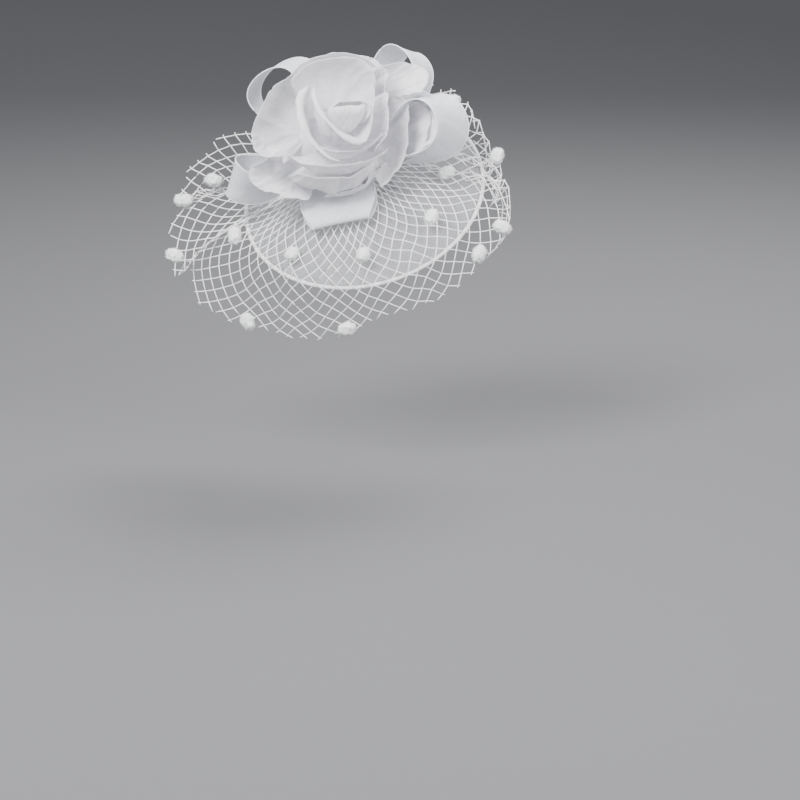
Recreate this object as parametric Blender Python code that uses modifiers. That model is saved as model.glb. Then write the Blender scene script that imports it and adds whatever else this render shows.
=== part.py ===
"""Gauze hair clip: a sheer round base over a hair clip, a dotted net veil, ribbon loops and a rose.

Lengths are in metres and angles in degrees. Every piece is modelled over a base that lies flat, with
+Z out of it and +Y towards the back of the head. One empty then tilts them all to the way the clip
is worn, with the point where it grips the hair at the origin.
"""

import math

import bmesh
import bpy
from mathutils import Euler, Matrix, Vector

# How the base lies when worn
TIP_FORWARD = 35.5
SIDE_ROLL = -16.7
TURN = 3.0

# Clearance between pieces that touch
SEAT_GAP = 0.0003

# Round base of stiff gauze with its bound edge
BASE_RADIUS = 0.080
BASE_DOME = 0.008
BASE_WALL = 0.0012
RIM_THICKNESS = 0.0026

# Hair clip under the base, bent from one strip
CLIP_LENGTH = 0.050
CLIP_WIDTH = 0.009
CLIP_STRIP = 0.0010
CLIP_JAW_GAP = 0.0026
CLIP_BEND_STEPS = 6

# Rose: the cluster of petals and the core that carries them
ROSE_X = -0.0125
ROSE_Y = 0.0221
ROSE_LIFT = 0.0325
ROSE_FORWARD = 34.0
ROSE_LEAN = 16.0
ROSE_RADIUS = 0.052
ROSE_HEIGHT = 0.045
PETAL_WALL = 0.0010
PETAL_CLEARANCE = 0.00035
BUD_RADIUS = 0.0042
PETAL_ROOT_SHARE = 0.55
PETAL_CORNER_ROUNDING = 0.24
PETAL_SWIRL = 0.30
CORE_SLOPE = 45.0
CORE_WALL = 0.0020
CORE_STEM_RADIUS = 0.009
BUD_ROLL_TURNS = 1.5
BUD_ROLL_RADIUS = 0.0019
BUD_ROLL_SWELL = 0.0010

# Ribbon loops
RIBBON_WALL = 0.0010
RIBBON_ROOT_WIDTH = 0.006
RIBBON_ROOT_RADIUS = CORE_STEM_RADIUS + SEAT_GAP * 3.0
RIBBON_ROOT_SPLIT = 0.0017
RIBBON_ROOT_LIFT = 0.0075
RIBBON_STEPS = 18

# Net veil
THREAD_THICKNESS = 0.0014
VEIL_CLEARANCE = 0.0018
VEIL_OVERHANG = 0.020
VEIL_HANG = 0.030
VEIL_CREST = 0.009
VEIL_GATHER_RADIUS = 0.0185
VEIL_GATHER_START = 140.0
VEIL_GATHER_END = 405.0
VEIL_CELLS_AROUND = 20
VEIL_CELLS_DEEP = 5

# Chenille dots on the veil
DOT_LENGTH = 0.0120
DOT_WIDTH = 0.0095
DOT_DEPTH = 0.0080

# Shape of the nest of petals. A row says, for a petal's place from the bud (0) to the outside (1),
# where the petal's belly and lip lie: "out" as a share of ROSE_RADIUS, "up" of ROSE_HEIGHT.
NEST_COLUMNS = ("place", "belly_out", "belly_up", "lip_out", "lip_up")
NEST = (
    (0.00, 0.17, 0.80, 0.13, 0.97),
    (0.20, 0.38, 0.64, 0.32, 1.02),
    (0.50, 0.66, 0.34, 0.68, 0.90),
    (1.00, 0.94, 0.10, 1.06, 0.56),
)

# Petals from the bud outwards. "turn" is the way that the petal faces, "spread" its half angle and
# "reach" its length as a share of the nest's.
PETAL_COLUMNS = ("name", "turn", "spread", "reach")
PETALS = (
    ("bud_petal_back", 95, 80, 0.96),
    ("bud_petal_front", 240, 78, 1.00),
    ("bud_petal_right", 5, 72, 1.00),
    ("bud_petal_left", 190, 66, 1.02),
    ("middle_petal_back_right", 58, 48, 0.98),
    ("middle_petal_back_left", 122, 46, 0.98),
    ("middle_petal_left", 178, 46, 1.00),
    ("middle_petal_front_left", 230, 46, 0.94),
    ("middle_petal_front_right", 288, 46, 0.94),
    ("middle_petal_right", 345, 46, 1.02),
    ("outer_petal_back", 97, 40, 0.93),
    ("outer_petal_back_right", 46, 38, 1.00),
    ("outer_petal_back_left", 150, 38, 1.00),
    ("outer_petal_right", 358, 36, 1.00),
    ("outer_petal_front_right", 308, 36, 0.92),
    ("outer_petal_front", 256, 38, 0.86),
    ("outer_petal_left", 196, 34, 1.08),
    ("side_petal_back", 44, 30, 1.02),
    ("side_petal_right", 28, 26, 0.98),
)

# Ribbon loops. "turn" points the loop, which curves up to its "rise" as seen from the rose's stem.
# "reach" is its length, "opening" its widest gap, and "lean" turns that gap from upright (0) to
# sideways (90).
LOOP_COLUMNS = ("name", "turn", "rise", "reach", "width", "opening", "lean")
LOOPS = (
    ("ribbon_loop_upper_left", 107, 26, 0.070, 0.024, 0.058, 64),
    ("ribbon_loop_upper_right", 33, 22, 0.082, 0.020, 0.052, 76),
    ("ribbon_loop_left", 188, 12, 0.071, 0.026, 0.020, -20),
    ("ribbon_loop_right", 340, 21, 0.089, 0.022, 0.045, -56),
    ("ribbon_loop_front", 264, 0, 0.064, 0.040, 0.005, 0),
)

# Edge of the veil, from its end at the upper left, under the front, to its end at the upper right.
# "turn" is the edge's place round the base, "overhang" is a share of VEIL_OVERHANG past the rim,
# "height" of VEIL_HANG over the rim, and "crest" of VEIL_CREST for the flute that runs to it.
VEIL_COLUMNS = ("turn", "overhang", "height", "crest")
VEIL = (
    (133, 0.50, 0.60, 0.5),
    (141, 1.30, 0.53, 0.8),
    (155, 1.65, 0.40, 0.4),
    (168, 2.10, 0.27, 0.2),
    (180, 2.55, 0.00, 0.6),
    (187, 2.45, -0.50, 0.2),
    (198, 1.95, -0.93, 0.7),
    (209, 1.35, -1.07, 0.2),
    (224, 1.00, -1.08, 0.7),
    (237, 0.95, -1.03, 0.2),
    (247, 0.80, -0.90, 0.8),
    (262, 0.72, -0.55, 0.3),
    (275, 0.70, -0.52, 0.9),
    (288, 0.75, -0.53, 0.3),
    (304, 0.80, -0.47, 0.8),
    (320, 1.00, -0.33, 0.4),
    (333, 1.00, -0.13, 0.9),
    (345, 0.75, 0.07, 0.5),
    (359, 0.60, 0.13, 0.3),
    (373, 0.35, 0.25, 0.2),
    (390, 0.55, 0.30, 0.4),
    (409, 0.75, 0.20, 0.2),
)

# Dots on the veil: "around" and "down" are shares of its length and depth, "roll" turns the dot.
DOT_COLUMNS = ("around", "down", "roll")
DOTS = (
    (0.104, 0.81, -55),
    (0.129, 0.99, -50),
    (0.196, 0.96, -20),
    (0.237, 0.59, -50),
    (0.362, 0.64, 25),
    (0.333, 0.98, -55),
    (0.479, 0.98, 20),
    (0.533, 0.66, -15),
    (0.675, 0.65, 70),
    (0.792, 0.58, 25),
    (0.958, 1.00, 60),
    (0.846, 0.94, -30),
    (0.725, 0.96, -70),
    (0.679, 0.96, 25),
)

COLOURS = {
    "gauze": ((0.86, 0.86, 0.90, 1.0), 0.55, 0.0),
    "satin_edge": ((0.93, 0.93, 0.95, 1.0), 0.35, 0.0),
    "organza": ((0.90, 0.89, 0.92, 1.0), 0.45, 0.0),
    "ribbon": ((0.88, 0.89, 0.94, 1.0), 0.50, 0.0),
    "net_thread": ((0.95, 0.95, 0.96, 1.0), 0.50, 0.0),
    "chenille": ((0.95, 0.96, 0.96, 1.0), 0.90, 0.0),
    "clip_metal": ((0.72, 0.72, 0.74, 1.0), 0.30, 1.0),
}


def clear_scene():
    for obj in list(bpy.data.objects):
        bpy.data.objects.remove(obj, do_unlink=True)


def new_collection(name):
    collection = bpy.data.collections.new(name)
    bpy.context.scene.collection.children.link(collection)
    return collection


def make_material(name):
    colour, roughness, metallic = COLOURS[name]
    material = bpy.data.materials.new(name)
    material.use_nodes = True
    shader = material.node_tree.nodes["Principled BSDF"]
    shader.inputs["Base Color"].default_value = colour
    shader.inputs["Roughness"].default_value = roughness
    shader.inputs["Metallic"].default_value = metallic
    return material


def add_object(name, mesh, parent, material, collection, smooth=True):
    obj = bpy.data.objects.new(name, mesh)
    collection.objects.link(obj)
    obj.parent = parent
    mesh.materials.append(material)
    if smooth:
        mesh.shade_smooth()
        mesh.set_sharp_from_angle(angle=math.radians(50))
    return obj


def mesh_from_bmesh(name, bm):
    mesh = bpy.data.meshes.new(name)
    bm.to_mesh(mesh)
    bm.free()
    return mesh


def add_solidify(obj, thickness):
    """Gives an open sheet its wall, half on each side."""
    modifier = obj.modifiers.new("Wall", "SOLIDIFY")
    modifier.thickness = thickness
    modifier.offset = 0.0


def sheet_mesh(name, steps_across, steps_along, place):
    """A grid whose points are moved by place(across, along), across from -1 to 1, along from 0 to 1."""
    bm = bmesh.new()
    bmesh.ops.create_grid(bm, x_segments=steps_across, y_segments=steps_along, size=1.0)
    for vert in bm.verts:
        vert.co = place(vert.co.x, (vert.co.y + 1.0) / 2.0)
    return mesh_from_bmesh(name, bm)


def turned_mesh_object(name, profile, steps, parent, material, collection):
    """A profile of (radius, height) points turned round Z with a Screw modifier."""
    mesh = bpy.data.meshes.new(name)
    mesh.from_pydata(
        [(radius, 0.0, height) for radius, height in profile],
        [(i, i + 1) for i in range(len(profile) - 1)],
        [],
    )
    obj = add_object(name, mesh, parent, material, collection, smooth=False)
    screw = obj.modifiers.new("Turn", "SCREW")
    screw.steps = steps
    screw.render_steps = steps
    screw.use_merge_vertices = True
    screw.merge_threshold = 0.00001
    screw.use_smooth_shade = True
    return obj


def dome_height(radius):
    """Height of the base's upper face over the plane of its rim."""
    share = min(radius / BASE_RADIUS, 1.0)
    return BASE_DOME * (1.0 - share * share)


def row_of(columns, values):
    return dict(zip(columns, values))


def between(rows, columns, key, value):
    """The row of a table at a value of its key column, straight between the rows beside it."""
    table = [row_of(columns, row) for row in rows]
    value = min(max(value, table[0][key]), table[-1][key])
    for low, high in zip(table, table[1:]):
        if value <= high[key]:
            share = (value - low[key]) / (high[key] - low[key])
            return {name: low[name] + share * (high[name] - low[name]) for name in columns}
    return table[-1]


def smooth_between(rows, columns, share):
    """The row of a table at a share of its length, on a smooth curve through its evenly spaced rows."""
    place = min(max(share, 0.0), 1.0) * (len(rows) - 1)
    start = min(int(place), len(rows) - 2)
    t = place - start
    picked = [rows[min(max(start + step, 0), len(rows) - 1)] for step in (-1, 0, 1, 2)]
    found = {}
    for index, name in enumerate(columns):
        before, low, high, after = (row[index] for row in picked)
        found[name] = 0.5 * (
            2.0 * low
            + (high - before) * t
            + (2.0 * before - 5.0 * low + 4.0 * high - after) * t * t
            + (3.0 * low - before - 3.0 * high + after) * t * t * t
        )
    return found


# Base and clip


def make_base(parent, material, collection):
    edge = BASE_RADIUS - RIM_THICKNESS - SEAT_GAP
    rings = 4
    profile = [
        (edge * ring / rings, dome_height(edge * ring / rings) - BASE_WALL / 2.0)
        for ring in range(rings + 1)
    ]
    base = turned_mesh_object("base_disc", profile, 40, parent, material, collection)
    add_solidify(base, BASE_WALL)


def make_rim(parent, material, collection):
    edge = BASE_RADIUS - RIM_THICKNESS - SEAT_GAP
    bpy.ops.mesh.primitive_torus_add(
        major_radius=BASE_RADIUS - RIM_THICKNESS / 2.0,
        minor_radius=RIM_THICKNESS / 2.0,
        major_segments=44,
        minor_segments=6,
        location=(0.0, 0.0, dome_height(edge) - BASE_WALL / 2.0),
    )
    rim = bpy.context.object
    for owner in list(rim.users_collection):
        owner.objects.unlink(rim)
    collection.objects.link(rim)
    rim.name = "rim_binding"
    rim.parent = parent
    rim.data.materials.append(material)
    rim.data.shade_smooth()


def clip_top():
    """Height of the clip's upper face: its ends stay clear of the domed base's underside."""
    return dome_height(CLIP_LENGTH / 2.0) - BASE_WALL - SEAT_GAP


def grip_height():
    """Height of the middle of the clip's jaws, where it holds the hair."""
    return clip_top() - CLIP_STRIP - CLIP_JAW_GAP / 2.0


def clip_outline():
    """Side outline of the clip: two flat arms joined by a round bend at the +X end."""
    outer = CLIP_JAW_GAP / 2.0 + CLIP_STRIP
    inner = CLIP_JAW_GAP / 2.0
    tip = -CLIP_LENGTH / 2.0
    bend = CLIP_LENGTH / 2.0 - outer
    angles = [math.pi / 2.0 - math.pi * step / CLIP_BEND_STEPS for step in range(CLIP_BEND_STEPS + 1)]
    outside = [(bend + outer * math.cos(a), outer * math.sin(a)) for a in angles]
    inside = [(bend + inner * math.cos(a), inner * math.sin(a)) for a in reversed(angles)]
    return [(tip, outer)] + outside + [(tip, -outer), (tip, -inner)] + inside + [(tip, inner)]


def make_clip(parent, material, collection):
    curve = bpy.data.curves.new("hair_clip", "CURVE")
    curve.dimensions = "2D"
    curve.fill_mode = "BOTH"
    curve.extrude = CLIP_WIDTH / 2.0
    outline = clip_outline()
    spline = curve.splines.new("POLY")
    spline.points.add(len(outline) - 1)
    for point, (x, y) in zip(spline.points, outline):
        point.co = (x, y, 0.0, 1.0)
    spline.use_cyclic_u = True
    clip = bpy.data.objects.new("hair_clip", curve)
    collection.objects.link(clip)
    clip.parent = parent
    clip.rotation_euler = (math.radians(90.0), 0.0, 0.0)
    clip.location = (0.0, 0.0, grip_height())
    curve.materials.append(material)


# Rose


def stem_height():
    """Height of the rose's own origin over the rim's plane."""
    return dome_height(math.hypot(ROSE_X, ROSE_Y)) + ROSE_LIFT


def core_brim():
    """Radius of the core, just past the root of the last petal."""
    return BUD_RADIUS + (len(PETALS) + 0.5) * petal_step()


def core_top(radius):
    """Height of the core's upper cone in the rose's frame, falling from its middle to its brim."""
    return (core_brim() - radius) * math.tan(math.radians(CORE_SLOPE))


def petal_step():
    return PETAL_WALL + PETAL_CLEARANCE


def nest_point(rank, along):
    """(radius, height) on the leaf of the nest that a petal of this rank follows."""
    place = rank / len(PETALS)
    shape = between(NEST, NEST_COLUMNS, "place", place)
    root_out = BUD_RADIUS + rank * petal_step()
    root_up = core_top(root_out) + SEAT_GAP + PETAL_WALL * 0.7
    belly_out = max(shape["belly_out"] * ROSE_RADIUS, root_out)
    weights = ((1.0 - along) ** 2, 2.0 * along * (1.0 - along), along**2)
    out = (root_out, belly_out, shape["lip_out"] * ROSE_RADIUS)
    up = (root_up, shape["belly_up"] * ROSE_HEIGHT, shape["lip_up"] * ROSE_HEIGHT)
    radius = sum(weight * value for weight, value in zip(weights, out))
    height = sum(weight * value for weight, value in zip(weights, up))
    return radius, height


def petal_place(rank, petal):
    """The function that moves a petal's grid onto its leaf of the nest."""

    def place(across, along):
        widening = math.sin(math.radians(90.0) * min(1.0, along / 0.6))
        width = PETAL_ROOT_SHARE + (1.0 - PETAL_ROOT_SHARE) * widening
        angle = math.radians(petal["turn"] + petal["spread"] * width * across)
        end = petal["reach"] * (1.0 - PETAL_CORNER_ROUNDING * across**4)
        radius, height = nest_point(rank - PETAL_SWIRL * across * along, along * end)
        return Vector((radius * math.cos(angle), radius * math.sin(angle), height))

    return place


def bud_roll_place(across, along):
    """The rolled strip in the middle of the bud: a spiral that swells a little half way up."""
    turned = (across + 1.0) / 2.0 * BUD_ROLL_TURNS
    angle = math.radians(360.0 * turned)
    radius = BUD_ROLL_RADIUS + turned * petal_step() * 1.1
    radius += BUD_ROLL_SWELL * math.sin(math.pi * along)
    foot = core_top(BUD_ROLL_RADIUS - PETAL_WALL / 2.0) + SEAT_GAP * 1.6
    height = foot + along * (ROSE_HEIGHT - foot)
    return Vector((radius * math.cos(angle), radius * math.sin(angle), height))


def make_stem(parent, material, collection):
    """The upright stem under the core, from inside the base's space up into the core."""
    foot = -BASE_DOME
    top = stem_height() + CORE_WALL
    profile = [(0.0, top), (CORE_STEM_RADIUS, top), (CORE_STEM_RADIUS, foot), (0.0, foot)]
    stem = turned_mesh_object("core_stem", profile, 20, parent, material, collection)
    stem.location = (ROSE_X, ROSE_Y, 0.0)
    stem.hide_render = True
    stem.display_type = "WIRE"
    return stem


def make_core(parent, stem, cutter, material, collection):
    brim = core_brim()
    profile = [
        (0.0, core_top(0.0)),
        (brim, core_top(brim)),
        (brim, core_top(brim) - CORE_WALL),
        (0.0, core_top(brim) - CORE_WALL),
    ]
    core = turned_mesh_object("rose_core", profile, 20, parent, material, collection)
    join = core.modifiers.new("Stem", "BOOLEAN")
    join.operation = "UNION"
    join.object = stem
    cut = core.modifiers.new("Seat on base", "BOOLEAN")
    cut.operation = "DIFFERENCE"
    cut.object = cutter


def make_base_cutter(parent, material, collection):
    """The space that the base fills, with its clearance, down past the stem's foot."""
    rings = 5
    wide = BASE_RADIUS * 0.6
    depth = -2.0 * (stem_height() + BASE_DOME)
    profile = [
        (wide * ring / rings, dome_height(wide * ring / rings) + SEAT_GAP) for ring in range(rings + 1)
    ]
    profile += [(wide, depth), (0.0, depth)]
    cutter = turned_mesh_object("base_cutter", profile, 40, parent, material, collection)
    cutter.hide_render = True
    cutter.display_type = "WIRE"
    return cutter


def make_rose(parent, stem, cutter, materials, collection):
    frame = bpy.data.objects.new("rose_frame", None)
    collection.objects.link(frame)
    frame.parent = parent
    frame.location = (ROSE_X, ROSE_Y, stem_height())
    frame.rotation_euler = (math.radians(ROSE_FORWARD), math.radians(ROSE_LEAN), 0.0)
    make_core(frame, stem, cutter, materials["organza"], collection)
    roll = sheet_mesh("bud_roll", 14, 3, bud_roll_place)
    add_solidify(add_object("bud_roll", roll, frame, materials["organza"], collection), PETAL_WALL)
    for rank, values in enumerate(PETALS, start=1):
        petal = row_of(PETAL_COLUMNS, values)
        mesh = sheet_mesh(petal["name"], 7, 5, petal_place(rank, petal))
        obj = add_object(petal["name"], mesh, frame, materials["organza"], collection)
        add_solidify(obj, PETAL_WALL)


# Ribbon loops


def loop_place(loop):
    """The function that moves a ribbon's grid round its loop, from its stem end and back to it."""
    turn, lean = (math.radians(loop[key]) for key in ("turn", "lean"))
    outward = Vector((math.cos(turn), math.sin(turn), 0.0))
    sideways = Vector((math.sin(turn), -math.cos(turn), 0.0))
    upward = Vector((0.0, 0.0, 1.0))
    steepness = math.tan(math.radians(loop["rise"])) / loop["reach"]
    centre = Vector(
        (ROSE_X, ROSE_Y, dome_height(math.hypot(ROSE_X, ROSE_Y)) + RIBBON_ROOT_LIFT)
    )

    def place(across, along):
        bow = math.sin(math.pi * along)
        out = RIBBON_ROOT_RADIUS + (loop["reach"] - RIBBON_ROOT_RADIUS) * bow
        split = -RIBBON_ROOT_SPLIT * math.cos(math.pi * along)
        gap = split - loop["opening"] / 2.0 * math.sin(2.0 * math.pi * along) * bow
        width = RIBBON_ROOT_WIDTH + (loop["width"] - RIBBON_ROOT_WIDTH) * bow**1.3
        lift = steepness * out * out
        tilt = math.atan(2.0 * steepness * out)
        facing = upward * math.cos(tilt) - outward * math.sin(tilt)
        open_way = facing * math.cos(lean) + sideways * math.sin(lean)
        width_way = sideways * math.cos(lean) - facing * math.sin(lean)
        ribbon_middle = centre + outward * out + upward * lift + open_way * gap
        return ribbon_middle + width_way * (across * width / 2.0)

    return place


def make_loops(parent, material, collection):
    for values in LOOPS:
        loop = row_of(LOOP_COLUMNS, values)
        mesh = sheet_mesh(loop["name"], 1, RIBBON_STEPS, loop_place(loop))
        add_solidify(add_object(loop["name"], mesh, parent, material, collection), RIBBON_WALL)


# Veil and dots


def veil_point(around, down):
    """Middle of the net's thickness at a share round its edge and a share down from its gathers."""
    edge = smooth_between(VEIL, VEIL_COLUMNS, around)
    gather = math.radians(VEIL_GATHER_START + (VEIL_GATHER_END - VEIL_GATHER_START) * around)
    turn = math.radians(edge["turn"])
    reach = BASE_RADIUS + edge["overhang"] * VEIL_OVERHANG
    inner = Vector(
        (
            ROSE_X + VEIL_GATHER_RADIUS * math.cos(gather),
            ROSE_Y + VEIL_GATHER_RADIUS * math.sin(gather),
        )
    )
    outer = Vector((reach * math.cos(turn), reach * math.sin(turn)))
    plan = inner.lerp(outer, down)
    lowest = THREAD_THICKNESS / 2.0 + SEAT_GAP + VEIL_CLEARANCE
    past_rim = max(0.0, (plan.length - BASE_RADIUS) / (reach - BASE_RADIUS))
    height = lowest + dome_height(plan.length)
    height += edge["crest"] * VEIL_CREST * math.sin(math.pi * down**3) ** 2
    height += (edge["height"] * VEIL_HANG - lowest) * past_rim**1.2
    return Vector((plan.x, plan.y, height))


def veil_normal(around, down):
    """Outward normal of the veil's surface."""
    step = 0.01
    along = veil_point(around + step, down) - veil_point(around - step, down)
    out = veil_point(around, min(down + step, 1.0)) - veil_point(around, down - step)
    return out.cross(along).normalized()


def net_cells():
    """Corners of every cell of the net, as (columns, levels) steps: diamonds and an outer row."""
    cells = []
    for row in range(VEIL_CELLS_DEEP):
        shift = 0.5 * (row % 2)
        for column in range(VEIL_CELLS_AROUND - row % 2):
            middle = column + 0.5 + shift
            level = row + 1
            cells.append(
                [(middle, level - 1), (middle + 0.5, level), (middle, level + 1), (middle - 0.5, level)]
            )
    last = VEIL_CELLS_DEEP
    for column in range(VEIL_CELLS_AROUND - 1):
        cells.append([(column + 1.0, last), (column + 1.5, last + 1), (column + 0.5, last + 1)])
    return cells


def net_corner(column, level):
    return veil_point(column / VEIL_CELLS_AROUND, level / (VEIL_CELLS_DEEP + 1))


def make_veil(parent, material, collection):
    """Diamonds of net, each cut through, from a sheet of four-sided faces and a Wireframe modifier."""
    bm = bmesh.new()
    made = {}
    for cell in net_cells():
        for corner in cell:
            if corner not in made:
                made[corner] = bm.verts.new(net_corner(*corner))
        bm.faces.new([made[corner] for corner in cell])
    veil = add_object("net_veil", mesh_from_bmesh("net_veil", bm), parent, material, collection)
    threads = veil.modifiers.new("Threads", "WIREFRAME")
    threads.thickness = THREAD_THICKNESS
    threads.use_even_offset = False
    threads.use_relative_offset = False
    threads.use_replace = True
    threads.use_boundary = True


def nearest_on_thread(point):
    """The point of the net's threads that lies nearest to a point."""
    best = None
    for cell in net_cells():
        corners = [net_corner(*corner) for corner in cell]
        for start, end in zip(corners, corners[1:] + corners[:1]):
            side = end - start
            share = min(max((point - start).dot(side) / side.length_squared, 0.0), 1.0)
            found = start + side * share
            if best is None or (found - point).length < (best - point).length:
                best = found
    return best


def make_dots(parent, material, collection):
    """Chenille dots, each seated on the outer side of the nearest thread."""
    for number, values in enumerate(DOTS, start=1):
        dot = row_of(DOT_COLUMNS, values)
        normal = veil_normal(dot["around"], dot["down"])
        seat = nearest_on_thread(veil_point(dot["around"], dot["down"]))
        bm = bmesh.new()
        bmesh.ops.create_uvsphere(bm, u_segments=8, v_segments=5, radius=0.5)
        bmesh.ops.scale(bm, vec=(DOT_LENGTH, DOT_WIDTH, DOT_DEPTH), verts=bm.verts)
        name = f"veil_dot_{number:02d}"
        obj = add_object(name, mesh_from_bmesh(name, bm), parent, material, collection)
        obj.location = seat + normal * (THREAD_THICKNESS / 2.0 + SEAT_GAP + DOT_DEPTH / 2.0)
        upright = normal.to_track_quat("Z", "Y").to_matrix().to_4x4()
        spin = Matrix.Rotation(math.radians(dot["roll"]), 4, "Z")
        obj.rotation_euler = (upright @ spin).to_euler()


def main():
    clear_scene()
    parts = new_collection("gauze_hair_clip")
    cutters = new_collection("cutters")
    materials = {name: make_material(name) for name in COLOURS}
    tilt = Euler([math.radians(angle) for angle in (TIP_FORWARD, SIDE_ROLL, TURN)], "XYZ")
    worn = bpy.data.objects.new("worn_tilt", None)
    parts.objects.link(worn)
    worn.rotation_euler = tilt
    worn.location = tilt.to_matrix() @ Vector((0.0, 0.0, -grip_height()))
    make_base(worn, materials["gauze"], parts)
    make_rim(worn, materials["satin_edge"], parts)
    make_clip(worn, materials["clip_metal"], parts)
    cutter = make_base_cutter(worn, materials["gauze"], cutters)
    stem = make_stem(worn, materials["organza"], cutters)
    make_rose(worn, stem, cutter, materials, parts)
    make_loops(worn, materials["ribbon"], parts)
    make_veil(worn, materials["net_thread"], parts)
    make_dots(worn, materials["chenille"], parts)


main()
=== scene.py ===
import math

import bmesh
import bpy
from mathutils import Euler, Matrix, Vector, noise


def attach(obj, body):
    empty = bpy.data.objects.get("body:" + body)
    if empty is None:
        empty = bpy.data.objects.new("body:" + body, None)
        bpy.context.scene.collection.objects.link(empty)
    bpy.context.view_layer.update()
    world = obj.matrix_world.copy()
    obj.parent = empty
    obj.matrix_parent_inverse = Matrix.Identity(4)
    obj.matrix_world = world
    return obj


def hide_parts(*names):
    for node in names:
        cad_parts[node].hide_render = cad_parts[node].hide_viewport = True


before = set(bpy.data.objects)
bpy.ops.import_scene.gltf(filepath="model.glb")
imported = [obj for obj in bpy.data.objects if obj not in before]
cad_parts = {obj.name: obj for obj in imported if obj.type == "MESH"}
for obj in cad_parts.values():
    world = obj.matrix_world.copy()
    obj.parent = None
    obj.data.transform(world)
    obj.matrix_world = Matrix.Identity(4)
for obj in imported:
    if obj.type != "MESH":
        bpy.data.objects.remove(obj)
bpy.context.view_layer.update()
MM = 0.001

# Sizes are in mm and angles in degrees unless a comment says otherwise.
# The base is worn tipped forward, rolled to the side and turned. The origin is the clip's grip.
WORN_ANGLES = (35.5, -16.7, 3.0)
GRIP_HEIGHT_M = 0.00341875
BASE_R, DOME = 80.0, 8.0
# The rose stands on its stem behind the middle of the base, and leans.
ROSE_X, ROSE_Y = -12.5, 22.1
STEM = 32.5
ROSE_ANGLES = (34.0, 16.0, 0.0)


def dome(r):
    """Height of the base's domed top at radius r."""
    return DOME * (1.0 - min(r / BASE_R, 1.0) ** 2)


def turned(angles):
    return Euler([math.radians(a) for a in angles], "XYZ").to_matrix().to_4x4()


SEAT_H = dome(math.hypot(ROSE_X, ROSE_Y))
WORN = turned(WORN_ANGLES) @ Matrix.Translation((0.0, 0.0, -GRIP_HEIGHT_M))
ROSE = WORN @ Matrix.Translation((ROSE_X * MM, ROSE_Y * MM, (SEAT_H + STEM) * MM)) @ turned(ROSE_ANGLES)


def noise3(x, y, z):
    return noise.noise(Vector((x, y, z)))


def catmull(a, b, c, d, t):
    """A smooth curve from b to c, for numbers or vectors."""
    square, cube = 2 * a - 5 * b + 4 * c - d, 3 * b - a - 3 * c + d
    return 0.5 * (2 * b + (c - a) * t + square * t * t + cube * t**3)


# Materials


class Nodes:
    """A material and short ways to write its nodes."""

    def __init__(self, name, colour, roughness, metallic=0.0):
        self.mat = bpy.data.materials.new(name)
        self.mat.use_nodes = True
        self.tree = self.mat.node_tree
        self.bsdf = self.tree.nodes["Principled BSDF"]
        self.bsdf.inputs["Base Color"].default_value = (*colour, 1.0)
        self.bsdf.inputs["Roughness"].default_value = roughness
        self.bsdf.inputs["Metallic"].default_value = metallic

    def new(self, kind, **props):
        node = self.tree.nodes.new(kind)
        for key, value in props.items():
            setattr(node, key, value)
        return node

    def link(self, a, b):
        self.tree.links.new(a, b)

    def math(self, op, a, b=None, clamp=False):
        node = self.new("ShaderNodeMath", operation=op, use_clamp=clamp)
        for socket, value in zip(node.inputs, (a, b)):
            if value is None:
                continue
            if isinstance(value, (int, float)):
                socket.default_value = value
            else:
                self.link(value, socket)
        return node.outputs[0]

    def uv(self, angle=0.0):
        coords = self.new("ShaderNodeTexCoord")
        mapping = self.new("ShaderNodeMapping")
        mapping.inputs["Rotation"].default_value = (0.0, 0.0, math.radians(angle))
        self.link(coords.outputs["UV"], mapping.inputs["Vector"])
        split = self.new("ShaderNodeSeparateXYZ")
        self.link(mapping.outputs[0], split.inputs[0])
        return split.outputs[0], split.outputs[1], mapping.outputs[0]

    def wave(self, value, pitch):
        return self.math("COSINE", self.math("MULTIPLY", value, 2.0 * math.pi / pitch))

    def noise(self, vector, scale, detail=3.0, rough=0.5):
        node = self.new("ShaderNodeTexNoise")
        node.inputs["Scale"].default_value = scale
        node.inputs["Detail"].default_value = detail
        node.inputs["Roughness"].default_value = rough
        self.link(vector, node.inputs["Vector"])
        return node.outputs["Fac"]

    def object_coords(self):
        return self.new("ShaderNodeTexCoord").outputs["Object"]

    def ramp(self, fac, stops):
        node = self.new("ShaderNodeValToRGB")
        while len(node.color_ramp.elements) < len(stops):
            node.color_ramp.elements.new(0.5)
        for element, (place, colour) in zip(node.color_ramp.elements, stops):
            element.position = place
            element.color = (*colour, 1.0)
        self.link(fac, node.inputs[0])
        return node.outputs[0]

    def remap(self, value, low, high, to_low=0.0, to_high=1.0):
        node = self.new("ShaderNodeMapRange")
        node.clamp = True
        values = {"From Min": low, "From Max": high, "To Min": to_low, "To Max": to_high}
        for key, number in values.items():
            node.inputs[key].default_value = number
        self.link(value, node.inputs["Value"])
        return node.outputs[0]

    def bump(self, height, distance, strength):
        node = self.new("ShaderNodeBump")
        node.inputs["Strength"].default_value = strength
        node.inputs["Distance"].default_value = distance
        self.link(height, node.inputs["Height"])
        self.link(node.outputs[0], self.bsdf.inputs["Normal"])

    def colour(self, socket):
        self.link(socket, self.bsdf.inputs["Base Color"])

    def alpha(self, socket):
        self.link(socket, self.bsdf.inputs["Alpha"])
        self.mat.surface_render_method = "BLENDED"


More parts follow.
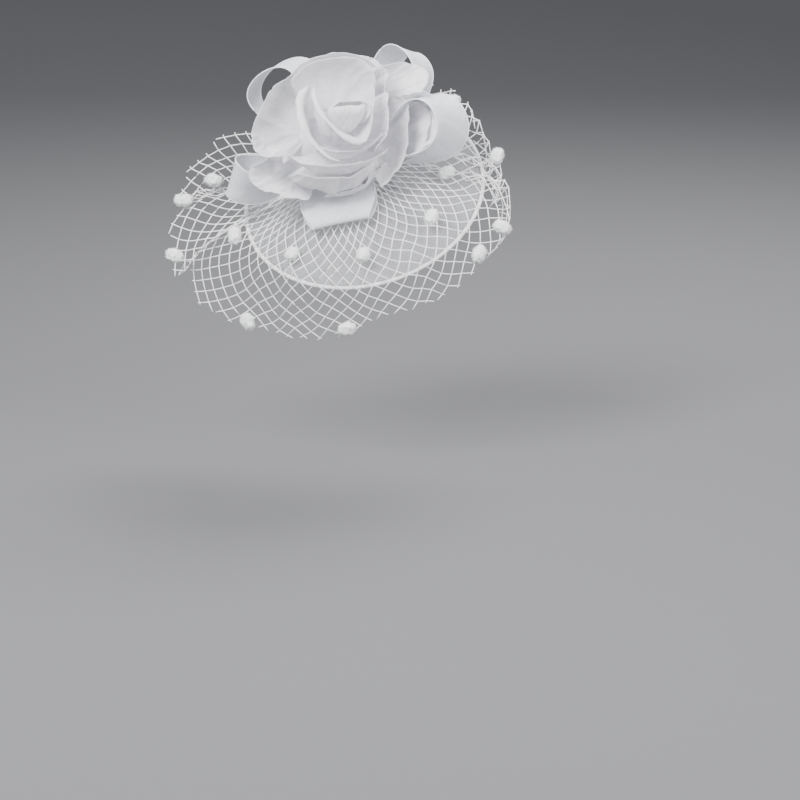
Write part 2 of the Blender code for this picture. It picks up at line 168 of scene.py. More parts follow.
def organza_material():
    """Soft organza: fine plain weave, faint slubs, cool white that deepens a little in patches."""
    weave_pitch = 0.0007
    n = Nodes("organza_cloth", (0.83, 0.82, 0.86), 0.62)
    x, y, plane = n.uv()
    weave = n.math("MULTIPLY", n.wave(x, weave_pitch), n.wave(y, weave_pitch))
    slub = n.noise(plane, 260.0, 4.0, 0.6)
    patch = n.noise(n.object_coords(), 38.0, 3.0, 0.55)
    shades = [(0.30, (0.80, 0.79, 0.85)), (0.55, (0.90, 0.895, 0.925)), (0.75, (0.94, 0.94, 0.955))]
    n.colour(n.ramp(patch, shades))
    height = n.math("ADD", n.math("MULTIPLY", weave, 0.35), n.math("MULTIPLY", slub, 0.9))
    n.bump(height, 0.00012, 0.5)
    n.bsdf.inputs["Sheen Weight"].default_value = 0.35
    n.bsdf.inputs["Sheen Roughness"].default_value = 0.4
    n.bsdf.inputs["Subsurface Weight"].default_value = 0.25
    n.bsdf.inputs["Subsurface Radius"].default_value = (0.004, 0.004, 0.005)
    sheer = n.math("ADD", n.math("MULTIPLY", slub, 0.30), 0.50, clamp=True)
    sheer = n.math("ADD", sheer, n.math("MULTIPLY", weave, 0.06), clamp=True)
    n.alpha(sheer)
    return n.mat


def mesh_material(name, colour, pitch, angle, thin, solid, low, high):
    """See-through gauze or mesh ribbon: fine threads that cross, with open cells between them.

    thin and solid are how much the cells and the threads hide; low and high bound a thread's width.
    """
    n = Nodes(name, colour, 0.5)
    x, y, plane = n.uv(angle)
    threads = n.remap(n.math("MAXIMUM", n.wave(x, pitch), n.wave(y, pitch)), low, high)
    patch = n.noise(plane, 90.0, 3.0, 0.5)
    fill = n.remap(patch, 0.3, 0.7, thin * 0.8, thin * 1.2)
    opened = n.math("ADD", fill, n.math("MULTIPLY", threads, solid - thin), clamp=True)
    n.alpha(opened)
    tone = n.noise(plane, 700.0, 2.0, 0.5)
    dark = tuple(c * 0.90 for c in colour)
    n.colour(n.ramp(tone, [(0.35, dark), (0.65, colour)]))
    n.bump(threads, 0.00015, 0.6)
    n.bsdf.inputs["Sheen Weight"].default_value = 0.15
    return n.mat


def thread_material(name, colour):
    """Spun thread: uneven in tone, with a fine fuzz."""
    n = Nodes(name, colour, 0.55)
    coords = n.object_coords()
    tone = n.noise(coords, 900.0, 2.0, 0.6)
    dark = tuple(c * 0.88 for c in colour)
    n.colour(n.ramp(tone, [(0.3, dark), (0.7, colour)]))
    n.bump(n.noise(coords, 2200.0, 2.0, 0.6), 0.00008, 0.6)
    n.bsdf.inputs["Sheen Weight"].default_value = 0.2
    return n.mat


def chenille_material():
    """Matt pile, with painted shade that darkens its hollows."""
    n = Nodes("chenille_pile", (0.88, 0.885, 0.88), 0.95)
    coords = n.object_coords()
    tone = n.noise(coords, 520.0, 4.0, 0.65)
    # painted shade: the noise that sinks the pile's bumps into hollows also darkens its colour there
    n.colour(n.ramp(tone, [(0.28, (0.74, 0.75, 0.75)), (0.6, (0.90, 0.905, 0.90))]))
    n.bump(tone, 0.0005, 0.7)
    n.bsdf.inputs["Sheen Weight"].default_value = 0.5
    return n.mat


def metal_material():
    """Steel brushed along the clip."""
    n = Nodes("clip_steel", (0.62, 0.62, 0.64), 0.3, 1.0)
    mapping = n.new("ShaderNodeMapping")
    mapping.inputs["Scale"].default_value = (40.0, 1500.0, 1500.0)
    n.link(n.object_coords(), mapping.inputs["Vector"])
    grain = n.noise(mapping.outputs[0], 1.0, 3.0, 0.6)
    n.link(n.remap(grain, 0.3, 0.7, 0.24, 0.42), n.bsdf.inputs["Roughness"])
    n.colour(n.ramp(grain, [(0.3, (0.52, 0.52, 0.54)), (0.7, (0.68, 0.68, 0.70))]))
    n.bump(grain, 0.00004, 0.5)
    return n.mat


ORGANZA = organza_material()
WHITE = (0.86, 0.86, 0.90)
GAUZE = mesh_material("base_gauze", WHITE, 0.0014, 0.0, 0.02, 0.40, 0.62, 0.95)
GAUZE_LOWER = mesh_material("base_gauze_under", WHITE, 0.0014, 28.0, 0.02, 0.34, 0.62, 0.95)
RIBBON = mesh_material("ribbon_mesh", (0.87, 0.88, 0.93), 0.0012, 45.0, 0.34, 0.90, 0.25, 0.88)
EDGE = thread_material("ribbon_edge", (0.88, 0.88, 0.91))
THREAD = thread_material("net_thread_white", (0.90, 0.90, 0.91))
BINDING = thread_material("rim_satin", (0.86, 0.86, 0.88))
CHENILLE = chenille_material()
STEEL = metal_material()

# Helpers that build pieces

CLOTH_WALL = 0.4


def piece(name, mesh, material, replaces=()):
    obj = bpy.data.objects.new(name, mesh)
    bpy.context.scene.collection.objects.link(obj)
    mesh.materials.append(material)
    mesh.shade_smooth()
    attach(obj, "root")
    if replaces:
        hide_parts(*replaces)
    return obj


def grid(name, across, along, place, size, matrix):
    """A sheet of across x along cells at place(s, t), s and t from 0 to 1, which was cut to size."""
    verts, faces, uvs = [], [], []
    for j in range(along + 1):
        for i in range(across + 1):
            s, t = i / across, j / along
            verts.append(matrix @ (Vector(place(s, t)) * MM))
            uvs.append((s * size[0] * MM, t * size[1] * MM))
    for j in range(along):
        for i in range(across):
            a = j * (across + 1) + i
            faces.append((a, a + 1, a + across + 2, a + across + 1))
    mesh = bpy.data.meshes.new(name)
    mesh.from_pydata(verts, [], faces)
    layer = mesh.uv_layers.new(name="cut")
    for loop in mesh.loops:
        layer.data[loop.index].uv = uvs[loop.vertex_index]
    return mesh


def wall(obj):
    solid = obj.modifiers.new("Wall", "SOLIDIFY")
    solid.thickness = CLOTH_WALL * MM
    solid.offset = 0.0


def tubes(name, lines, radius, sides):
    """One mesh of tubes with closed ends, along lines of points that are in metres."""
    verts, faces = [], []
    for line in lines:
        points = [Vector(p) for p in line]
        start = len(verts)
        for index, point in enumerate(points):
            ahead = points[min(index + 1, len(points) - 1)] - points[max(index - 1, 0)]
            way = ahead.normalized()
            side = way.orthogonal().normalized()
            other = way.cross(side)
            for k in range(sides):
                angle = 2.0 * math.pi * k / sides
                verts.append(point + (side * math.cos(angle) + other * math.sin(angle)) * radius * MM)
        for index in range(len(points) - 1):
            for k in range(sides):
                a = start + index * sides + k
                b = start + index * sides + (k + 1) % sides
                faces.append((a, b, b + sides, a + sides))
        faces.append(tuple(start + k for k in reversed(range(sides))))
        last = start + (len(points) - 1) * sides
        faces.append(tuple(last + k for k in range(sides)))
    mesh = bpy.data.meshes.new(name)
    mesh.from_pydata(verts, [], faces)
    return mesh


# Base and rim

BINDING_OUT, BINDING_UP = 1.3, 1.05
# The gauze ends this far inside the base's edge, in its binding
GAUZE_INSET = 2.9


def make_base():
    """Two layers of gauze on the dome, a little uneven, with their cut laid flat in their UVs."""
    edge = BASE_R - GAUZE_INSET
    rings, around = 22, 96
    for name, lift, turn, material, nodes in (
        ("base_gauze_upper", 0.0, 0.0, GAUZE, ("base_disc",)),
        ("base_gauze_lower", -1.0, 0.6, GAUZE_LOWER, ()),
    ):
        bm = bmesh.new()
        layer = bm.loops.layers.uv.new("cut")
        rows = []
        for j in range(rings + 1):
            r = edge * j / rings
            row = []
            for i in range(around if j else 1):
                a = 2.0 * math.pi * i / around
                x, y = r * math.cos(a), r * math.sin(a)
                wave = 0.35 * noise3(x * 0.04 + turn, y * 0.04, turn) * (1.0 - (r / edge) ** 4)
                row.append(bm.verts.new(WORN @ (Vector((x, y, dome(r) - 0.1 + lift + wave)) * MM)))
            rows.append(row)
        flat = {}
        for j, row in enumerate(rows):
            for i, vert in enumerate(row):
                r, a = edge * j / rings, 2.0 * math.pi * i / around + turn
                flat[vert] = (r * math.cos(a) * MM, r * math.sin(a) * MM)
        for j in range(rings):
            for i in range(around):
                k = (i + 1) % around
                if j == 0:
                    face = bm.faces.new((rows[0][0], rows[1][i], rows[1][k]))
                else:
                    face = bm.faces.new((rows[j][i], rows[j + 1][i], rows[j + 1][k], rows[j][k]))
                for loop in face.loops:
                    loop[layer].uv = flat[loop.vert]
        mesh = bpy.data.meshes.new(name)
        bm.to_mesh(mesh)
        bm.free()
        obj = piece(name, mesh, material, nodes)


def make_rim():
    """Bound edge: a soft folded tape over the gauze, a little uneven along its length."""
    steps, sides = 260, 10
    radius = BASE_R - BINDING_OUT
    verts, faces = [], []
    for i in range(steps):
        a = 2.0 * math.pi * i / steps
        swell = 1.0 + 0.07 * noise3(math.cos(a) * 9.0, math.sin(a) * 9.0, 1.0)
        swell += 0.03 * math.sin(a * 130.0)
        for k in range(sides):
            b = 2.0 * math.pi * k / sides
            up = BINDING_UP * swell * math.sin(b)
            r = radius + BINDING_OUT * swell * math.cos(b)
            verts.append(WORN @ (Vector((r * math.cos(a), r * math.sin(a), up)) * MM))
    for i in range(steps):
        for k in range(sides):
            a, b = i * sides + k, i * sides + (k + 1) % sides
            ahead = (i + 1) % steps * sides
            c, d = ahead + (k + 1) % sides, ahead + k
            faces.append((a, d, c, b))
    mesh = bpy.data.meshes.new("rim_piping")
    mesh.from_pydata(verts, [], faces)
    piece("rim_piping", mesh, BINDING, ("rim_binding",))


# Rose

# turn and spread of the petal, the radius of its root, its belly's radius and height, the curl of the
# lip at its start, middle and end, ruffle, then places along its lip from the foot of the rose
PETAL_COLUMNS = (
    "name", "node", "turn", "spread", "root", "belly_out", "belly_up", "curl", "ruffle", "lip",
)
PETALS = (
    ("bud_wrap_front", "bud_petal_front",
     252, 82, 6, 14, 33, (1.0, 1.7, 1.0), 0.4,
     ((-1.7, 11.5, 42.5), (0.7, 9.7, 44.5), (5.9, 9.1, 46), (11.7, 9.1, 46.3), (17.7, 9.3, 45.8),
      (22.4, 11.5, 43.5))),
    ("bud_wrap_back", "bud_petal_back",
     62, 90, 6, 15, 34, (0.2, 0.3, 0.2), 0.5,
     ((22.8, 3.5, 41.5), (22.4, 7.7, 43.5), (18.2, 10.1, 44.8), (10, 11.5, 45.3), (2.9, 11.3, 44.3),
      (-0.9, 8.5, 42))),
    ("bud_wrap_right", "bud_petal_right",
     345, 62, 8, 21, 32, (0.35, 0.3, 0.4), 0.5,
     ((12.1, -14.9, 41), (17.9, -11.3, 42.5), (21.6, -2.4, 43.5), (24.1, 7.3, 43.5),
      (26.4, 16.3, 42.5), (27.3, 24.1, 41))),
    ("bud_wrap_left", "bud_petal_left",
     225, 82, 9, 20, 32, (2.6, 3.0, 3.2), 0.4,
     ((-8.8, 26.3, 42), (-8.4, 17.2, 44), (-5.6, 6.6, 45), (-0.1, -1.9, 45), (8.4, -9.1, 44.5),
      (18.7, -12, 43.5))),
    ("petal_inner_right", "middle_petal_right",
     352, 42, 12, 34, 26, (0.4, 0.35, 0.4), 0.8,
     ((23.5, -17.9, 37), (30.5, -10, 38.5), (34.2, 1.7, 39), (34.4, 10.2, 38.5), (36.7, 17, 37))),
    ("petal_inner_front", "middle_petal_front_left",
     275, 55, 12, 29, 25, (0.2, 0.28, 0.2), 0.8,
     ((-11.1, -13.6, 38), (-2.3, -18.1, 38.5), (9.8, -18.5, 38.5), (21.4, -14.9, 38.5),
      (29.6, -8.7, 38))),
    ("petal_inner_back", "middle_petal_back_left",
     88, 55, 13, 36, 26, (0.35, 0.4, 0.35), 0.9,
     ((29.5, 21.6, 37), (29, 29.6, 39), (23.9, 37.1, 40), (12.1, 41.2, 41), (-2.3, 41.7, 41),
      (-15.8, 37.7, 39), (-24.4, 31.7, 36))),
    ("petal_inner_back_right", "middle_petal_back_right",
     48, 34, 17, 44, 22, (0.4, 0.5, 0.35), 1.2,
     ((34, 18, 31), (35.4, 24.1, 33), (37.9, 30.7, 35), (34.7, 36, 35), (27.8, 41.6, 34),
      (19.4, 43.3, 33))),
    ("petal_inner_left", "middle_petal_left",
     192, 70, 14, 27, 26, (2.6, 3.2, 1.2), 0.5,
     ((-13.3, 25.2, 40), (-17.7, 18.5, 42), (-18.4, 9.7, 42), (-16.8, 0.8, 41), (-13.3, -9.2, 39.5),
      (-7.6, -18.2, 38), (0.6, -24.1, 36))),
    ("petal_inner_front_right", "middle_petal_front_right",
     268, 60, 18, 39, 20, (0.25, 0.3, 0.25), 1.0,
     ((-32.8, -15.5, 31), (-26.4, -21.4, 34), (-14.8, -24.6, 35), (0.3, -27.1, 35.5),
      (15, -25.4, 35.5), (32.7, -18.4, 35))),
    ("petal_broad_left", "outer_petal_back_left",
     168, 48, 20, 48, 13, (0.5, 0.55, 0.5), 1.4,
     ((-22.6, 34.6, 31), (-34.9, 27, 29), (-44.7, 15.6, 27), (-51.1, 3.1, 26), (-51.9, -6.9, 26),
      (-45.2, -13.6, 27), (-34.6, -14.8, 29))),
    ("petal_broad_back", "outer_petal_back",
     82, 56, 19, 46, 18, (0.45, 0.45, 0.45), 1.3,
     ((36.9, 21.3, 30), (34.2, 34.3, 33), (23.3, 41.8, 35), (9.1, 45, 36), (-6.3, 44.8, 35),
      (-18.8, 40.1, 33), (-27.1, 32.7, 30))),
    ("petal_broad_right", "outer_petal_right",
     345, 42, 22, 50, 14, (0.45, 0.4, 0.4), 1.3,
     ((28.4, -40.2, 17), (36.4, -32.7, 22), (43, -23.3, 27), (46.5, -12.2, 31), (48.3, 0.5, 33),
      (47.9, 9.8, 34), (40.8, 15, 34))),
    ("petal_broad_front", "outer_petal_front_right",
     264, 50, 23, 51, 5, (0.3, 0.35, 0.25), 1.3,
     ((-23.3, -26.5, 25), (-13.2, -30.8, 27), (0.8, -32.9, 28), (11.9, -30.3, 30),
      (24.4, -23.6, 31))),
    ("petal_broad_front_right", "outer_petal_front",
     290, 38, 25, 49, 3, (0.25, 0.3, 0.25), 1.5,
     ((-4.1, -38.6, 14), (6.4, -40.1, 16), (16.4, -36.7, 19), (22.7, -31.3, 22),
      (31.1, -25.2, 26))),
    ("petal_low_left", "outer_petal_left",
     222, 30, 26, 46, 1, (0.5, 0.5, 0.45), 1.5,
     ((-44.2, -14.8, 17), (-53.5, -19.7, 14), (-54, -26.8, 11), (-46.9, -32.7, 9),
      (-38.2, -35.3, 8), (-29.4, -37.9, 7), (-20.9, -40.6, 7))),
    ("petal_far_back_right", "outer_petal_back_right",
     34, 24, 24, 50, 16, (0.45, 0.45, 0.45), 1.5,
     ((50.9, 14.4, 27), (61, 17.7, 29), (66.6, 24.7, 29), (64.3, 32.6, 28), (55.1, 36.6, 27),
      (44.5, 37.4, 28), (35, 37.3, 29))),
    ("petal_side_back", "side_petal_back",
     358, 28, 27, 56, 15, (0.45, 0.5, 0.45), 1.6,
     ((44.1, -23.7, 26), (56.9, -20.1, 29), (66, -11.3, 33), (69.5, 0, 36), (67.5, 9.4, 37),
      (60.3, 15, 37), (49.7, 13.1, 36))),
    ("petal_side_right", "side_petal_right",
     352, 24, 28, 53, 11, (0.45, 0.45, 0.45), 1.4,
     ((42.8, -26.6, 22), (50.5, -23, 25), (58.3, -15, 28), (62, -6, 31), (61.9, 2.7, 32),
      (56.8, 8.4, 33), (49.6, 8.8, 33))),
)
# The rose's middle leans by this much at the bud's height, and less below it
BUD_LEAN = (7.0, 4.0)
BUD_HEIGHT = 45.0
# The roots stand just off the heart, a cone of 45 degrees, so their radius and height add up to this
HEART_CONE = 31.6
ROOT_SPREAD = 0.62
# Where the roll of a lip starts, as a share of the petal's length, and how far it turns, in radians
ROLL_START, ROLL_TURN = 0.86, 2.7


def four_round(rows, u):
    """The four rows round the place u, from 0 to 1, and how far u is between the middle two."""
    place = min(max(u, 0.0), 1.0) * (len(rows) - 1)
    k = min(int(place), len(rows) - 2)
    return [rows[min(max(k + i, 0), len(rows) - 1)] for i in (-1, 0, 1, 2)], place - k


def spline(points, s):
    four, t = four_round(points, s)
    return catmull(*(Vector(point) for point in four), t)


def bud_lean(up):
    return max(0.0, up / BUD_HEIGHT) ** 1.2


def petal_body(row):
    """The petal before its lip is rolled: root on the heart, belly, then the lip."""

    def ring(radius, up, side, spread):
        theta = math.radians(row["turn"] + spread * side)
        lean = bud_lean(up)
        x = radius * math.cos(theta) + BUD_LEAN[0] * lean
        y = radius * math.sin(theta) + BUD_LEAN[1] * lean
        return Vector((x, y, up))

    def place(s, t):
        side = 2.0 * s - 1.0
        root = ring(row["root"], HEART_CONE - row["root"], side, row["spread"] * ROOT_SPREAD)
        belly = ring(row["belly_out"], row["belly_up"], side, row["spread"])
        lip = spline(row["lip"], s)
        return root * (1.0 - t) ** 2 + belly * 2.0 * t * (1.0 - t) + lip * t * t

    return place


def petal_surface(row, seed):
    """The petal with its rolled lip, ruffles and creases."""
    body = petal_body(row)
    step = 0.01
    flip = 1.0

    def frame_at(s, t):
        ds = body(min(s + step, 1.0), t) - body(max(s - step, 0.0), t)
        dt = body(s, min(t + step, 1.0)) - body(s, max(t - step, 0.0))
        return ds.cross(dt).normalized() * flip, dt.normalized()

    # the face that the lip rolls over is the outer one, away from the bud
    middle = body(0.5, 0.6)
    if frame_at(0.5, 0.6)[0].dot(Vector((middle.x - 5.0, middle.y - 3.0, -12.0))) < 0.0:
        flip = -1.0

    def place(s, t):
        side = 2.0 * s - 1.0
        # the two upper corners are cut round, so the sheet ends a little short of them
        end = 1.0 - 0.05 * abs(side) ** 4 + 0.02 * noise3(side * 2.4, 0.3, seed)
        point = body(s, t * end)
        face, along = frame_at(s, t * end)
        angle = ROLL_TURN * max(0.0, (t - ROLL_START) / (1.0 - ROLL_START))
        first, mid, last = row["curl"]
        curl = first + (mid - first) * min(1.0, s * 2.0) + (last - mid) * max(0.0, s * 2.0 - 1.0)
        curl *= 1.0 + 0.25 * noise3(side * 1.9, seed, 2.0)
        # the lip lies flatter at its two ends
        curl *= min(1.0, 6.0 * s + 0.25) * min(1.0, 6.0 * (1.0 - s) + 0.25)
        # the roll of the lip, then ruffles, folds and crumples, and creases where noise is near nought
        push = curl * (1.0 - math.cos(angle))
        back = curl * (math.sin(angle) - angle * 0.5)
        wave = math.sin(side * 5.2 + seed * 1.7) + 0.6 * math.sin(side * 9.7 + seed)
        push += row["ruffle"] * t**2.5 * wave * 0.42
        held = math.sin(math.pi * min(1.0, t * 1.1)) ** 0.5 if t < 0.9 else 0.4
        push += 1.4 * row["ruffle"] * noise3(side * 3.2 + seed, t * 1.0, seed * 0.7) * held
        push += 0.42 * noise3(side * 8.0, t * 4.0, seed) * min(1.0, 3.0 * t)
        push += 0.22 * noise3(side * 19.0, t * 8.0, seed + 4.0)
        crease = abs(noise3(side * 4.5 + seed * 2.0, t * 1.3 + seed, 7.0))
        push -= 0.55 * row["ruffle"] * max(0.0, 0.16 - crease) / 0.16 * min(1.0, 2.0 * t)
        return point + face * push + along * back

    return place


def make_rose():
    """The petals, and the rolled cloth in the middle of the bud."""
    for index, values in enumerate(PETALS):
        row = dict(zip(PETAL_COLUMNS, values))
        body = petal_body(row)
        width = sum((body((i + 1) / 12, 0.85) - body(i / 12, 0.85)).length for i in range(12))
        length = sum((body(0.5, (i + 1) / 12) - body(0.5, i / 12)).length for i in range(12))
        cells = 52 if row["belly_out"] > 30 else 44
        seed = 1.37 * index + 0.5
        mesh = grid(row["name"], cells, 40, petal_surface(row, seed), (width, length), ROSE)
        obj = piece(row["name"], mesh, ORGANZA, (row["node"],))
        wall(obj)

    cut = (40, 14)

    def roll(s, t):
        turns = s * 1.7
        angle = math.radians(360.0 * turns + 100.0)
        radius = 1.4 + turns * 1.7 + 1.2 * math.sin(math.pi * t * 0.8)
        up = 30.5 + t * 9.5 + 0.6 * noise3(s * 6, t, 3) - 1.5 * s * t
        lean = bud_lean(up)
        return (
            1.25 * radius * math.cos(angle) + (BUD_LEAN[0] + 3.0 * t) * lean,
            radius * math.sin(angle) + (BUD_LEAN[1] + 2.0 * t) * lean,
            up,
        )

    mesh = grid("bud_heart", 56, 14, roll, cut, ROSE)
    obj = piece("bud_heart", mesh, ORGANZA, ("bud_roll",))
    wall(obj)


def make_heart():
    """The stitched middle that carries the petals: gathered organza over a soft cone and stem."""
    profile = (
        (0.0, 31.0), (6.0, 25.0), (14.0, 17.0), (22.0, 9.0), (28.6, 2.0), (28.4, -0.4),
        (25.0, -2.8), (20.0, -5.0), (15.0, -8.0), (11.5, -12.0), (9.8, -17.0),
    )
    foot = ((9.6, 1.5), (9.2, 0.6), (9.0, 0.2))
    around, pleats = 64, 16.0
    verts, faces = [], []
    for r, h in profile:
        for i in range(around):
            a = 2.0 * math.pi * i / around
            pleat = 1.0 + 0.015 * math.sin(a * pleats)
            verts.append(ROSE @ (Vector((r * pleat * math.cos(a), r * pleat * math.sin(a), h)) * MM))
    for r, h in foot:
        for i in range(around):
            a = 2.0 * math.pi * i / around
            pleat = 1.0 + 0.03 * math.sin(a * pleats)
            x = ROSE_X + r * pleat * math.cos(a)
            y = ROSE_Y + r * pleat * math.sin(a)
            verts.append(WORN @ (Vector((x, y, dome(math.hypot(x, y)) + h)) * MM))
    rows = len(profile) + len(foot)
    for j in range(rows - 1):
        for i in range(around):
            k = (i + 1) % around
            faces.append((j * around + i, (j + 1) * around + i, (j + 1) * around + k, j * around + k))
    mesh = bpy.data.meshes.new("rose_heart")
    mesh.from_pydata(verts, [], faces)
    layer = mesh.uv_layers.new(name="cut")
    for loop in mesh.loops:
        j, i = divmod(loop.vertex_index, around)
        layer.data[loop.index].uv = (i * 0.002, j * 0.006)
    piece("rose_heart", mesh, ORGANZA, ("rose_core",))


# Ribbon loops

# turn round the rose and rise, reach, the ribbon's width at its root, halfway and at its tip, how far
# the loop stands open, and the lean and twist of the ribbon
LOOP_COLUMNS = (
    "name", "node", "turn", "rise", "reach",
    "root_width", "width", "tip_width", "opening", "lean", "twist",
)
LOOPS = (
    ("loop_upper_left", "ribbon_loop_upper_left", 107, 26, 70, 8, 28, 28, 54, 52, 10),
    ("loop_upper_right", "ribbon_loop_upper_right", 33, 22, 82, 8, 21, 20, 52, 76, -10),
    ("loop_left", "ribbon_loop_left", 187, 18, 66, 8, 25, 25, 25, -82, 8),
    ("loop_right", "ribbon_loop_right", 344, 24, 83, 8, 29, 29, 47, -56, -8),
    ("loop_front", "ribbon_loop_front", 263, 0, 54, 46, 54, 36, 6, 0, 0),
)
# Where a ribbon's root lies: this far from the stem's axis and this far above the base
LOOP_ROOT = 9.9
LOOP_HEIGHT = 7.5
LOOP_CELLS = 120
CORD_RADIUS = 0.42


def loop_surface(row, seed):
    """The ribbon from the rose out to the loop's tip and back; t runs along it, s across it."""
    turn = math.radians(row["turn"])
    outward = Vector((math.cos(turn), math.sin(turn), 0.0))
    sideways = Vector((math.sin(turn), -math.cos(turn), 0.0))
    upward = Vector((0.0, 0.0, 1.0))
    steepness = math.tan(math.radians(row["rise"])) / row["reach"]
    centre = Vector((ROSE_X, ROSE_Y, SEAT_H + LOOP_HEIGHT))

    def place(s, t):
        side = 2.0 * s - 1.0
        bow = math.sin(math.pi * t)
        out = LOOP_ROOT + (row["reach"] - LOOP_ROOT) * bow
        lift = steepness * out * out
        tilt = math.atan(2.0 * steepness * out)
        lean = math.radians(row["lean"] + row["twist"] * math.sin(2.0 * math.pi * t))
        facing = upward * math.cos(tilt) - outward * math.sin(tilt)
        open_way = facing * math.cos(lean) + sideways * math.sin(lean)
        width_way = sideways * math.cos(lean) - facing * math.sin(lean)
        gap = -1.7 * math.cos(math.pi * t) - row["opening"] / 2.0 * math.sin(2.0 * math.pi * t) * bow
        width = row["root_width"] + (row["width"] - row["root_width"]) * min(1.0, bow * 1.5) ** 1.3
        width += (row["tip_width"] - row["width"]) * bow**3
        gather = (1.0 - min(1.0, bow * 2.2)) * 1.2 * math.sin(side * 9.0 + seed)
        wave = 0.5 * noise3(t * 5.0, side * 1.3, seed) * bow
        bend = 0.6 * side * side * bow
        normal = outward * bow * bend + open_way * (gather + wave)
        spine = centre + outward * out + upward * lift + open_way * gap
        return spine + width_way * (side * width / 2.0) + normal

    return place


def make_loops():
    """Five ribbon loops, each with a fine cord along both edges."""
    for index, values in enumerate(LOOPS):
        row = dict(zip(LOOP_COLUMNS, values))
        surface = loop_surface(row, index * 2.1)
        # there and back, and round the open tip
        length = 2.0 * row["reach"] + 1.1 * row["opening"]
        mesh = grid(row["name"], 16, LOOP_CELLS, surface, (row["width"], length), WORN)
        obj = piece(row["name"], mesh, RIBBON, (row["node"],))
        wall(obj)
        lines = []
        for s in (0.004, 0.996):
            lines.append([WORN @ (surface(s, j / LOOP_CELLS) * MM) for j in range(LOOP_CELLS + 1)])
        edge = tubes(row["name"] + "_edges", lines, CORD_RADIUS, 6)
        piece(row["name"] + "_edges", edge, EDGE)


# Veil

# Stations along the veil's hem, from the back left round the front to the back right: turn round the
# base, in degrees, how far past its edge and at what height the hem lies, how high a crest stands
# between gathers and hem, and how far the net hangs down at the hem
VEIL = (
    (129, 7, 19, 3, 0),
    (136, 20, 23, 6, 0),
    (147, 30, 21, 4, 0),
    (156, 36, 19, 8, 0),
    (167, 39, 16, 2, 0),
    (158, 33, 6, 0, 0),
    (168, 44, 8, 6, 0),
    (178, 51, 3, 3, 0),
    (187, 53, -8, 7, 0),
    (179, 45, -14, 0, 0),
    (190, 46, -24, 5, 0),
    (200, 38, -29, 2, 0),
    (209, 28, -32, 6, 0),
    (218, 23, -33, 2, 0),
    (227, 20, -33, 5, 0),
    (237, 18, -30, 2, 0),
    (247, 15, -26, 6, 0),
    (256, 14, -20, 3, 0),
    (263, 14, -16, 6, 0),
    (275, 14, -16, 2, 0),
    (284, 15, -17, 6, 0),
    (293, 15, -16, 3, 0),
    (304, 16, -14, 6, 0),
    (313, 18, -12, 2, 4),
    (322, 20, -9, 6, 10),
    (330, 19, -6, 3, 17),
    (337, 17, -2, 6, 23),
    (344, 14, 1, 3, 26),
    (338, 9, 2, 0, 18),
    (348, 12, 4, 5, 26),
    (356, 9, 6, 3, 25),
    (349, 6, 6, 0, 12),
    (362, 8, 8, 5, 20),
    (373, 9, 11, 2, 10),
    (384, 12, 13, 3, 3),
    (395, 14, 12, 3, 0),
    (408, 15, 9, 3, 0),
)
NET_COLUMNS = 54
# The ring under the rose that the net is gathered to, and the part of it that the veil takes up
NET_GATHER = 30.0
NET_CENTRE = (ROSE_X + 4.0, ROSE_Y + 8.0)
GATHER_START, GATHER_TURN = 140.0, 265.0
# The edge of a cell, the least step between rows of knots, and the net's clearance over the base
NET_EDGE = 7.4
NET_STEP = 3.6
NET_LIFT = 2.2
NET_SAMPLES = 70
HEM_STEP = 1.2
THREAD_RADIUS, KNOT_RADIUS = 0.37, 0.58
# A thread may run this far past the hem before it is cut, and keeps at least this share of its length
CUT_SLACK, CUT_SHARE = 0.4, 0.18


def veil_station(u):
    four, t = four_round(VEIL, u)
    return [catmull(*values, t) for values in zip(*four)]


def veil_profile(u):
    """Points from the gathers to the hem, at one place round the veil."""
    turn, past, height, crest, hem = veil_station(u)
    gather = math.radians(GATHER_START + GATHER_TURN * u)
    inner = Vector((math.cos(gather), math.sin(gather))) * NET_GATHER + Vector(NET_CENTRE)
    angle = math.radians(turn)
    reach = BASE_R + past
    outer = Vector((reach * math.cos(angle), reach * math.sin(angle)))
    points = []
    for i in range(NET_SAMPLES + 1):
        d = i / NET_SAMPLES
        plan = inner.lerp(outer, d)
        sway = 3.4 * noise3(u * 13.0, d * 2.6, 9.0) * math.sin(math.pi * d) ** 0.7
        plan += Vector((-outer.y, outer.x)).normalized() * sway
        r = plan.length
        beyond = max(0.0, (r - BASE_R) / (reach - BASE_R))
        # over the dome: a crest, ripples and unevenness, then up or down to the hem's own height
        h = NET_LIFT + dome(r)
        h += crest * math.sin(math.pi * d**2.6) ** 2
        h += 1.6 * (0.5 + 0.5 * math.sin(u * 150.0)) * d
        h += 1.2 * noise3(plan.x * 0.05, plan.y * 0.05, 4.0) * d
        h += (height - NET_LIFT) * beyond**1.2
        points.append(Vector((plan.x, plan.y, h)))
    steps = int(max(0.0, hem) / HEM_STEP)
    inwards = -outer.normalized()
    # where the hem hangs, the net turns down and inwards
    for i in range(1, steps + 1):
        bend = 0.1 + 0.75 * (i / steps)
        down = Vector((inwards.x * bend, inwards.y * bend, -1.0)).normalized()
        points.append(points[-1] + down * HEM_STEP)
    return points


def along_profile(points, lengths, s):
    """The point at length s along a profile whose points lie at these lengths."""
    if s >= lengths[-1]:
        way = (points[-1] - points[-2]).normalized()
        return points[-1] + way * (s - lengths[-1])
    low, high = 0, len(lengths) - 1
    while high - low > 1:
        mid = (low + high) // 2
        if lengths[mid] <= s:
            low = mid
        else:
            high = mid
    share = (s - lengths[low]) / (lengths[high] - lengths[low])
    return points[low].lerp(points[high], share)


